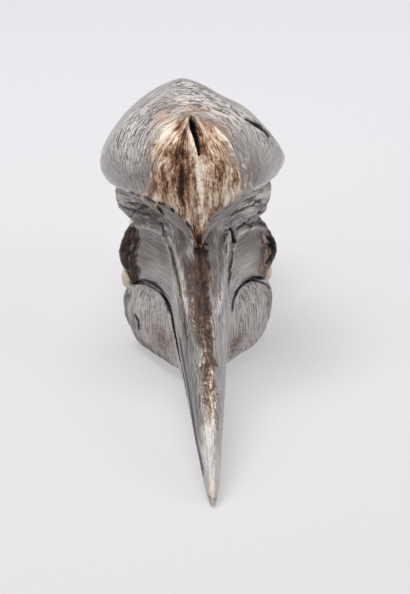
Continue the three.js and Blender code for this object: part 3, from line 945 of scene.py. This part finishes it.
BROKEN_EDGES = [
    [(112, 228), (134, 227), (138, 238), (134, 250), (135, 262), (138, 276), (137, 288), (120, 300)],
    [(268, 230), (284, 232), (284, 264), (270, 292), (260, 284), (268, 268), (270, 250)],
]
SPLINTER = [(264, 230), (267, 248), (265, 262), (263, 278)]
SPLINTER_SHADE = [(270, 232), (273, 246), (272, 260), (269, 278)]
MOTTLED = [
    [(206, 222), (222, 230), (223, 262), (219, 290), (213, 324), (206, 324), (207, 262)],
    [(184, 264), (196, 262), (198, 300), (200, 345), (194, 345), (189, 300)],
    [(164, 210), (174, 214), (186, 228), (190, 246), (182, 256), (176, 242), (168, 226)],
]
WASH = [
    (181, 262), (190, 258), (205, 256), (207, 270), (207, 300), (207, 330), (202, 350), (195, 345),
    (187, 310),
]
LEFT_FLANK = [(182, 300), (186, 345), (191, 400), (197, 445)]
TIP_CHEVRON = [(208, 495), (214, 501), (219, 495)]
CREAM_STREAK = [
    (207, 416), (213, 426), (217, 440), (219, 452), (220, 470), (220, 488), (217, 500), (210, 500),
    (206, 486), (203, 468), (201, 452), (202, 440), (204, 426),
]
COLLAR_EDGES = [
    [(136, 194), (148, 198), (160, 203), (172, 211), (181, 220), (188, 230), (192, 245)],
    [(254, 193), (240, 198), (227, 206), (215, 216), (208, 226), (205, 245)],
]
# The gap between the bills, drawn as a line of painted shade
MOUTH_SHADE_LINES = [
    [
        (131, 286), (136, 283), (143, 281), (153, 284), (161, 291), (167, 301), (173, 319), (179, 341),
        (185, 375), (194, 430), (200, 462), (205, 485),
    ],
    [(231, 316), (234, 299), (238, 289), (243, 283), (251, 280), (260, 282), (267, 285), (272, 290)],
]
MOUTH_SHADE_WIDTHS = (1.8, 1.3)
# Painted light on the lores under the rim of the casque, against its shadow
UNDER_RIM_LIGHTS = [(1.0, (127, 197), (19, 9)), (0.85, (259, 195), (14, 9)), (0.5, (246, 208), (9, 9))]
BULGES = [(0.8, (274, 250), (6, 16)), (1, (263, 210), (7, 7))]
STRIPE_SPOTS = [
    (0.25, (214, 410), (5, 14)), (-0.15, (200, 342), (4, 18)), (-0.15, (212, 342), (4, 14)),
    (-0.15, (205, 392), (4, 14)),
]
STRIPE_PATCH = [(1, (192, 248), (5, 10))]
BILL_SHADES = [(0.7, (262, 262), (8, 22)), (0.65, (139, 261), (9, 24)), (0.6, (186, 276), (6, 18))]
LORE_FEET = [(0.85, (136, 221), (12, 5)), (0.7, (256, 224), (15, 4)), (0.6, (268, 208), (5, 13))]
# Columns between which the left side ends
LEFT_SIDE_ENDS = (190, 210)


def mouth_gap_shade(skin):
    """Painted shade of the gap between the upper and the lower bill, as a dark line on either of them."""
    lines = zip(MOUTH_SHADE_LINES, MOUTH_SHADE_WIDTHS)
    return most(*(stroke(skin.pixels, line, width) for line, width in lines)) * skin.facing


# %% Curves of the brown stripe
# Where its middle lies, half its width, how pale it is, how far it hides the horn and how mixed it is
BAND_SOFT = 1.4
band_middle = along((0, 0), (12, 0.3), (25, 0.8), (60, 0.9), (110, 0.7))
band_half = along((0, 1.4), (4, 2.0), (22, 2.1), (40, 2.1), (70, 2.2), (90, 2.2), (104, 1.8), (130, 1.7))
band_tone = along(
    (0, 0.85), (6, 0.85), (20, 0.8), (27, 0.6), (46, 0.46), (52, 0.42), (64, 0.4), (72, 0.3), (110, 0.28),
    (178, 0.3),
)
band_share = along((0, 0.3), (5, 0.3), (20, 0.35), (26, 0.8), (48, 0.85), (68, 0.9), (110, 1), (178, 1))
band_fray = along((0, 0.5), (22, 0.6), (28, 0.9), (62, 1.1), (74, 0.9), (178, 0.9))

# %% Bill relief
SADDLE_STATION = 103
pixels = bill.pixels
sway = swaying(bill.points, 4, 11)
frayed = pixels + 3 * sway
seen = bill.facing
x, _, z = bill.points.T

# Shields and lores at the base
base = bill.behind(100, 118)
at_edge = base * lerp(0.3, 1, seen)
shield_edge = strokes(pixels + 0.8 * sway, SHIELD_EDGES, 1.5) * seen * base
shield = insides(pixels, SHIELDS, 9) * seen * base
collar = strokes(pixels, COLLAR_EDGES, 9) * seen
# Painted light under the rim of the casque, where its shadow falls
under_rim_light = blots(pixels, UNDER_RIM_LIGHTS) * base
lore = insides(frayed, LORE_OUTLINES, 4) * base * (1 - 0.8 * collar)
fold = strokes(frayed, LORE_FOLDS, 1.4) * seen * base * (1 - 0.7 * under_rim_light)
broken = insides(frayed, BROKEN_EDGES, 3.5) * base * lerp(0.4, 1, seen)
splinter = stroke(frayed, SPLINTER, 4.5) * at_edge
splinter_shade = stroke(frayed, SPLINTER_SHADE, 2.6) * at_edge
nostril = strokes(pixels, NOSTRIL_LINES, 2.0) * seen

# Ridges, grooves and stains along the bill
inner_ridge = strokes(pixels + 0.5 * sway, INNER_RIDGES, 2.5) * seen
groove = strokes(pixels + 1.2 * sway, BROWN_GROOVES, 1.9) * seen
mottled = insides(frayed, MOTTLED, 5) * seen
wash = inside(frayed, WASH, 8) * seen
flank = stroke(frayed, LEFT_FLANK, 8) * seen
chevron = stroke(pixels, TIP_CHEVRON, 1.3) * bill.ahead(6, 9)
tip = bill.ahead(2.5, 6.0)
# Painted shade in the gap of the mouth, which is also pressed in a little below
mouth = mouth_gap_shade(bill)
# The underside of the upper bill, painted dark as shade inside the closed mouth
underside_shade = smoothstep(bill.share, WALL_SHARE + 0.003, WALL_SHARE + 0.01) * fade(bill.share, 0.92, 0.96)
underside_shade *= bill.behind(4, 9)

# The brown stripe on the ridge
on_top = smoothstep(bill.normals[:, 2], 0.2, 0.5)
saddle = bell(bill.station - SADDLE_STATION, 5.5) * bell(x, 4.5) * on_top
ragged = clouds(bill.points, (1.2, 3, 1.2), 3, 20)
from_middle = np.abs(x - band_middle(bill.station) + 0.8 * sway[:, 0])
band_off = from_middle - band_half(bill.station) - 0.9 * ragged
band = smoothstep(-band_off, -BAND_SOFT, BAND_SOFT) * on_top
smudge = smoothstep(-band_off, -4.5, 1.0) * on_top * bill.behind(66, 84)

# Roughness of each kind of surface
crumbs = clouds(bill.points, (1.3, 2.2, 1.3), 3, 14)
wrinkles = smoothstep(np.abs(clouds(bill.points, (7, 7, 2.6), 2, 15)), 0.08, 0.01) * (1 - 0.8 * under_rim_light)
rough = clouds(bill.points, (2.4, 2.4, 1.6), 3, 13)
splits = clouds(bill.points, (1.8, 1.8, 4.0), 4, 19)
girth = bill.side * bill.share * (10 + 0.12 * bill.station)
lengthwise = np.stack((girth + 0.4 * sway[:, 0], 0.3 * sway[:, 1], bill.station), axis=1)
crosswise = np.stack((z + 0.12 * sway[:, 0], 0.1 * sway[:, 1], x), axis=1)
grain = np.where((shield > 0.5)[:, None], crosswise, lengthwise)

height = 0.3 * clouds(bill.points, (9, 25, 9), 2, 16) + 0.06 * clouds(grain * (1, 1, 0.12), 1.2, 2, 17)
height += 0.4 * shield_edge - 1.2 * shield + 0.6 * inner_ridge - 0.4 * groove - 1.1 * nostril
height += lore * (0.28 * rough - 0.35 * wrinkles) - 0.7 * fold + 0.7 * broken * splits + 1.1 * collar
height += 0.6 * splinter - 0.5 * splinter_shade + 1.5 * blots(pixels, BULGES) * base
height += band * (0.35 * crumbs - 0.2) - 0.3 * mouth + 2.4 * saddle
bill.swell(height)
print("bill relief from", round(height.min(), 2), "to", round(height.max(), 2), "mm")

# %% Bill marks
x = bill.points[:, 0]
stripe = band * band_share(bill.station)
specks = smoothstep(clouds(bill.points, 1.6, 2, 18), 0.2, 0.5) * bill.behind(70, 100) * on_top
stains = most(0.3 * smudge, 0.45 * mottled, 0.6 * wash, 0.75 * groove, 0.35 * specks)
patch = blots(frayed, STRIPE_PATCH) * seen
plain_tone = lerp(0.75, 0.38, bill.behind(4, 14))
tone = lerp(plain_tone, band_tone(bill.station), smoothstep(band, 0.2, 0.6))
tone += 0.25 * splinter + 0.15 * tip
tone = lerp(tone, 0.27 + 0.2 * splits, broken * (1 - splinter)) + blots(pixels, STRIPE_SPOTS)
splits_open = broken * np.where(splits < 0, 0.4, 0.15)
cracks = most(0.55 * fold, 0.38 * lore * wrinkles, 0.4 * chevron, 0.7 * splinter_shade, splits_open)
shade = blots(pixels, BILL_SHADES) * seen * base
lore_foot = blots(frayed, LORE_FEET) * seen * base
# Darker on the left lores and at the lores' feet
lore_darkening = most(0.25 * fade(pixels[:, 0], *LEFT_SIDE_ENDS) * lore, lore_foot)
# Painted shade in hollows and creases
crease_shade = most(0.5 * bill.hollows(), 0.6 * bill.hollows(30))
streak = 0.55 * inside(frayed, CREAM_STREAK, 5) * seen
shield_light = lerp(0.2, 0.28, smoothstep(x, -5, 5)) * shield
bill.mark(
    grain=grain,
    fibre=np.stack((x + 0.6 * sway[:, 0], 0.5 * sway[:, 1], bill.station), axis=1),
    worn=most(stripe, stains, 0.9 * splinter, 0.9 * tip, 0.8 * broken) * (1 - patch),
    tone=tone,
    fray=band_fray(bill.station),
    # Nostrils and cracks, and the painted shade of the mouth's gap on its line and on the underside
    dark=most(nostril, mouth, underside_shade, cracks),
    # Painted shade in creases and in spots, darker lores, and the dark of broken horn and of the stripe's
    # smudge, wash and flank
    grime=most(crease_shade, lore_darkening, 0.2 * smudge, broken, shade, 0.75 * wash, 0.55 * flank),
    orange=0,
    # Painted highlights on the shields' edges and the inner ridges, painted light under the rim and on the
    # shields, and the rubbed patch and cream streak
    pale=most(0.65 * shield_edge, 0.65 * inner_ridge, patch, under_rim_light, streak, shield_light),
    dashes=lerp(0.6, 0.9, base) * (1 - 0.8 * shield) * (1 - 0.7 * streak),
)
show("upper_bill_sheath", bill, bill_horn, "bill_horn", "upper_bill")

# %% [markdown]
# ## Lower jaw
# The lower bill is one sheath too. In front it is solid, and further back it splits round the open throat
# into a plate on each side. Cutting the throat out of a lofted skin leaves ragged faces, so the result is
# remeshed into even squares, which also joins what the solids keep apart.

# %% Lower jaw sections
JAW_TIP = 10
THROAT_START = 96
GAPE_END = 157
JAW_WALL = 8
JAW_LIP = 0.15
JAW_CAP = 0.95
JAW_VOXEL = 0.42


def lower_half_width(station, depth):
    mouth = mouth_half_width(station) * lerp(0.9, 1, smoothstep(station, 40, 100))
    bulge = 1.9 * smoothstep(station, 100, 142)
    low = keel_half_width(station)
    widths = (mouth - 0.3, lerp(mouth, low, 0.15) + bulge, lerp(mouth, low, 0.45) + bulge, low)
    return cubic((0, 0.3, 0.6, 1), widths, depth)


def jaw_place(reach, side, share):
    station = lerp(JAW_TIP, GAPE_END, np.clip(reach / JAW_CAP, 0, 1) ** 1.1)
    top = cutting_edge(station) - 0.8
    bottom = keel(station)
    depth = np.clip((share - JAW_LIP) / (1 - 2 * JAW_LIP), 0, 1)
    outward = np.minimum(1, share / JAW_LIP) * np.minimum(1, (1 - share) / JAW_LIP)
    rear_cap = 1 - np.clip((reach - JAW_CAP) / (1 - JAW_CAP), 0, 1)
    shrink = quarter_round((station - JAW_TIP) / 2) * rear_cap
    misfit = -0.9 * smoothstep(station, 0, 80) * fade(station, 100, 140)
    middle = (top + bottom) / 2
    x = misfit + side * lower_half_width(station, depth) * outward * shrink
    return x, station, middle + (lerp(top, bottom, depth) - middle) * shrink


def throat_place(reach, side, share):
    station = lerp(THROAT_START, GAPE_END + 10, reach)
    inner = np.minimum(station, GAPE_END)
    top = cutting_edge(inner) - 0.8
    bottom = keel(inner)
    middle = (top + bottom) / 2
    z = lerp(top + 15, bottom - 15, share)
    wall = lower_half_width(inner, np.clip((top - z) / (top - bottom), 0, 1)) - JAW_WALL
    opened = np.maximum(0.3, wall * smoothstep(station, THROAT_START, THROAT_START + 16))
    cap = np.clip(np.minimum(20 * reach, 20 * (1 - reach)), 0, 1)
    return side * np.sin(np.pi * share) ** 0.2 * opened * cap, station, middle + (z - middle) * cap


# %% Cut and remesh
def worked(skin, *modifiers):
    """The skin after modifiers, each a type and its settings, are applied to it."""
    holder = bpy.data.objects.new("holder", skin.mesh)
    bpy.context.scene.collection.objects.link(holder)
    for kind, settings in modifiers:
        step = holder.modifiers.new(kind.lower(), kind)
        for key, value in settings.items():
            setattr(step, key, value)
    held = holder.evaluated_get(bpy.context.evaluated_depsgraph_get())
    mesh = bpy.data.meshes.new_from_object(held)
    bpy.data.objects.remove(holder)
    return Skin(mesh)


throat = bpy.data.objects.new("throat", loft("throat_skin", 60, 80, throat_place).mesh)
bpy.context.scene.collection.objects.link(throat)
cut = ("BOOLEAN", {"operation": "DIFFERENCE", "object": throat, "solver": "EXACT"})
even = ("REMESH", {"mode": "VOXEL", "voxel_size": JAW_VOXEL * MM})
jaw = worked(loft("jaw_skin", 220, 160, jaw_place), cut, even)
bpy.data.objects.remove(throat)
jaw.smooth(3)
fray_end(jaw, 146, GAPE_END, 2.5)
print("lower jaw skin", len(jaw.points), "points")

# %% Jaw lines and spots, in the photograph's pixels
PLATE_RIMS = [
    [(133, 287), (143, 284), (153, 288), (161, 296), (168, 312), (173, 330), (179, 352), (186, 385)],
    [(236, 297), (242, 289), (251, 285), (261, 287), (268, 292)],
]
PLATE_SLIT = [(136, 314), (138, 322), (140, 331)]
PLATE_SIDES = [
    [(130, 286), (126, 299), (125, 313), (129, 325), (137, 338), (155, 354), (177, 369)],
    [(267, 284), (271, 300), (272, 315), (269, 329), (264, 340), (251, 354), (232, 367)],
]
KNOBS = [(1, (127, 315), (5, 6)), (1, (271, 316), (4, 6))]
FLAKING = [(1, (162, 338), (14, 24), -35), (1, (236, 344), (9, 18), 35)]

# %% Jaw relief and marks
pixels = jaw.pixels
sway = swaying(jaw.points, 4, 21)
frayed = pixels + 4 * sway
plate_rim = strokes(pixels, PLATE_RIMS, 1.8) * jaw.facing
slit = stroke(pixels + 1.5 * sway, PLATE_SLIT, 0.8) * jaw.facing
side_shade = strokes(frayed, PLATE_SIDES, 4)
# Painted shade in the gap of the mouth
mouth = mouth_gap_shade(jaw)
knob = blots(pixels, KNOBS) * jaw.facing
flaking = blots(frayed, FLAKING) * jaw.facing
scales = clouds(jaw.points, (3.0, 3.0, 0.8), 2, 23)
x, _, z = jaw.points.T
upright = np.stack((x + 0.5 * sway[:, 0], jaw.station, z), axis=1)
lengthwise = np.stack((z + 0.5 * sway[:, 0], x, jaw.station), axis=1)
plate = jaw.behind(99, 104) * jaw.facing
grain = np.where((plate > 0.9)[:, None], upright, lengthwise)
height = 0.35 * clouds(jaw.points, (8, 14, 8), 2, 24) + 0.06 * clouds(grain * (1, 1, 0.12), 1.2, 2, 25)
height += 0.3 * plate_rim - 0.25 * slit + 0.6 * knob + 0.3 * flaking * scales
jaw.swell(height)

x, _, z = jaw.points.T
spots = smoothstep(scales, 0.05, 0.45) * jaw.behind(90, 115)
# The top of the lower bill along the gape, painted dark as shade inside the closed mouth
lid_shade = smoothstep(jaw.normals[:, 2], 0.5, 0.7) * smoothstep(z - cutting_edge(jaw.station), -2.5, -1.6)
lid_shade *= lerp(1, 0.3, jaw.behind(100, 112))
plate_light = lerp(0.27, 0.42, smoothstep(x, -5, 5)) * plate * (1 - side_shade)
jaw.mark(
    grain=grain,
    fibre=np.stack((z, jaw.station, x), axis=1),
    worn=most(0.6 * flaking, 0.33 * spots),
    tone=0.52 + 0.1 * scales,
    fray=0.8,
    # The slit is a crack; the mouth's line and the lid are painted shade of the gap
    dark=most(slit, mouth, lid_shade),
    # Painted shade in hollows and along the plates' sides, and darker knobs
    grime=most(0.4 * jaw.hollows(), 0.8 * knob, 0.75 * side_shade),
    orange=0.55 * flaking,
    # Painted highlights on the plates' rims, and painted light on the plates, lighter on the right
    pale=most(0.5 * plate_rim, plate_light),
    dashes=1,
)
show("lower_jaw_sheath", jaw, bill_horn, "bill_horn", "lower_bill", "lower_plate_left", "lower_plate_right")

# %% [markdown]
# ## Bone
# Behind the horn the bare bone shows: the round braincase, the eye sockets and thin bars beside the palate.
# The solids already have these forms, so copies of them are remeshed and smoothed, and then get the dents
# and pores of real bone. Those of the braincase are merged first, swollen a little to close their joints.

# %% Bone finish
BONE_TONES = ((0.32, (0.54, 0.41, 0.29)), (0.5, (0.72, 0.6, 0.475)), (0.68, (0.82, 0.745, 0.64)))
# Brown of the bone's hollows, and of painted shade in the ear holes and eye sockets
HOLLOW_AND_SHADE_BROWN = (0.24, 0.14, 0.08)
PIT_BROWN = (0.3, 0.19, 0.12)
bone_finish = Finish("bare_bone")
place = bone_finish.node("TexCoord", {}, {}, "Object")
stain = bone_finish.clouds(place, 55, 4)
mottle = bone_finish.clouds(place, 260, 4)
pores = bone_finish.clouds(place, 1500, 2, 0.5)
cream = bone_finish.ramp(stain * 0.6 + mottle * 0.4, *BONE_TONES)
deep = bone_finish.step(bone_finish.marked("hollow") + (mottle - 0.5) * 0.6, 0.1, 0.75)
darkened = bone_finish.mix(deep, cream, HOLLOW_AND_SHADE_BROWN)
pits = bone_finish.step(pores, 0.66, 0.74)
speckled = bone_finish.mix(pits * 0.5, darkened, PIT_BROWN)
height = mottle * 0.4 + pores * 0.25 - pits * 0.4
bone = bone_finish.done(speckled, 0.55 + 0.25 * mottle, height, **{"Specular IOR Level": 0.4})
print("bone finish:", bone.name)


# %% Bones from the solids
def bone_skin(nodes, voxel, swell, rounds):
    """One even skin over copies of some solids."""
    body = bmesh.new()
    for node in nodes:
        body.from_mesh(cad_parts[node].data)
    bmesh.ops.remove_doubles(body, verts=body.verts, dist=1e-6)
    mesh = bpy.data.meshes.new("bone_skin")
    body.to_mesh(mesh)
    body.free()
    start = Skin(mesh)
    start.swell(np.full(len(start.points), swell))
    skin = worked(start, ("REMESH", {"mode": "VOXEL", "voxel_size": voxel * MM}))
    skin.smooth(rounds)
    return skin


def finish_bone(name, skin, *nodes, stain=0):
    """Gives a skin the dents of real bone, marks its hollows and any painted shade given as stain, and
    shows it.
    """
    skin.swell(0.25 * clouds(skin.points, 8, 2, 31) + 0.1 * clouds(skin.points, 1.6, 3, 32))
    skin.mark(hollow=np.clip(np.maximum(skin.hollows(), stain), 0, 1))
    show(name, skin, bone, "bone", *nodes)


EAR = (30, 226, 44)
EAR_HALF = (9, 9, 8)
cranium = bone_skin(("braincase", "frontal", "septum"), 0.55, 0.3, 8)
for flip in (-1, 1):
    cranium.dent((flip * EAR[0], *EAR[1:]), EAR_HALF)
cranium.smooth(6)
x, _, z = cranium.points.T
from_ear = np.hypot((cranium.station - EAR[1]) / EAR_HALF[1], (z - EAR[2]) / EAR_HALF[2])
# Painted shade inside the ear holes, darkest in their middle
ear = 0.9 * fade(from_ear, 0.4, 0.95) * smoothstep(np.abs(x), 6, 10)
# Painted shade in the eye sockets
socket = 0.35 * fade(np.abs(x), 6, 14) * fade(z, 50, 56) * cranium.ahead(208, 222)
finish_bone("cranium", cranium, "braincase", "frontal", "septum", stain=most(ear, socket))
for bar in ("ramus", "quadrate", "jugal", "palatine", "pterygoid"):
    for side in ("left", "right"):
        node = bar + "_" + side
        finish_bone(node + "_bone", bone_skin((node,), 0.45, 0.0, 4), node)

# %% [markdown]
# ## Floor paper
# Even plain paper has a faint tooth, and here it is a little lighter towards the back. It also glows with
# its own colour, painted light that keeps the floor bright and the shadows pale.

# %% Floor finish
PAPER_NEAR = (0.248, 0.243, 0.245)
PAPER_FAR = (0.35, 0.346, 0.36)
# The strength of that glow, painted light
PAPER_GLOW = 1.57
paper_finish = Finish("paper")
place = paper_finish.node("TexCoord", {}, {}, "Object")
depth = paper_finish.node("SeparateXYZ", {}, {0: place}, "Y")
shade = paper_finish.step(depth, -0.4, 0.9)
tooth = paper_finish.clouds(place, 900, 3)
tint = paper_finish.mix(shade, PAPER_NEAR, PAPER_FAR)
glow = {"Emission Color": tint, "Emission Strength": PAPER_GLOW, "Specular IOR Level": 0.1}
floor_mesh.materials.append(paper_finish.done(tint, 0.85 + 0.05 * tooth, tooth * 0.2, **glow))
print("floor finish:", floor_mesh.materials[0].name)
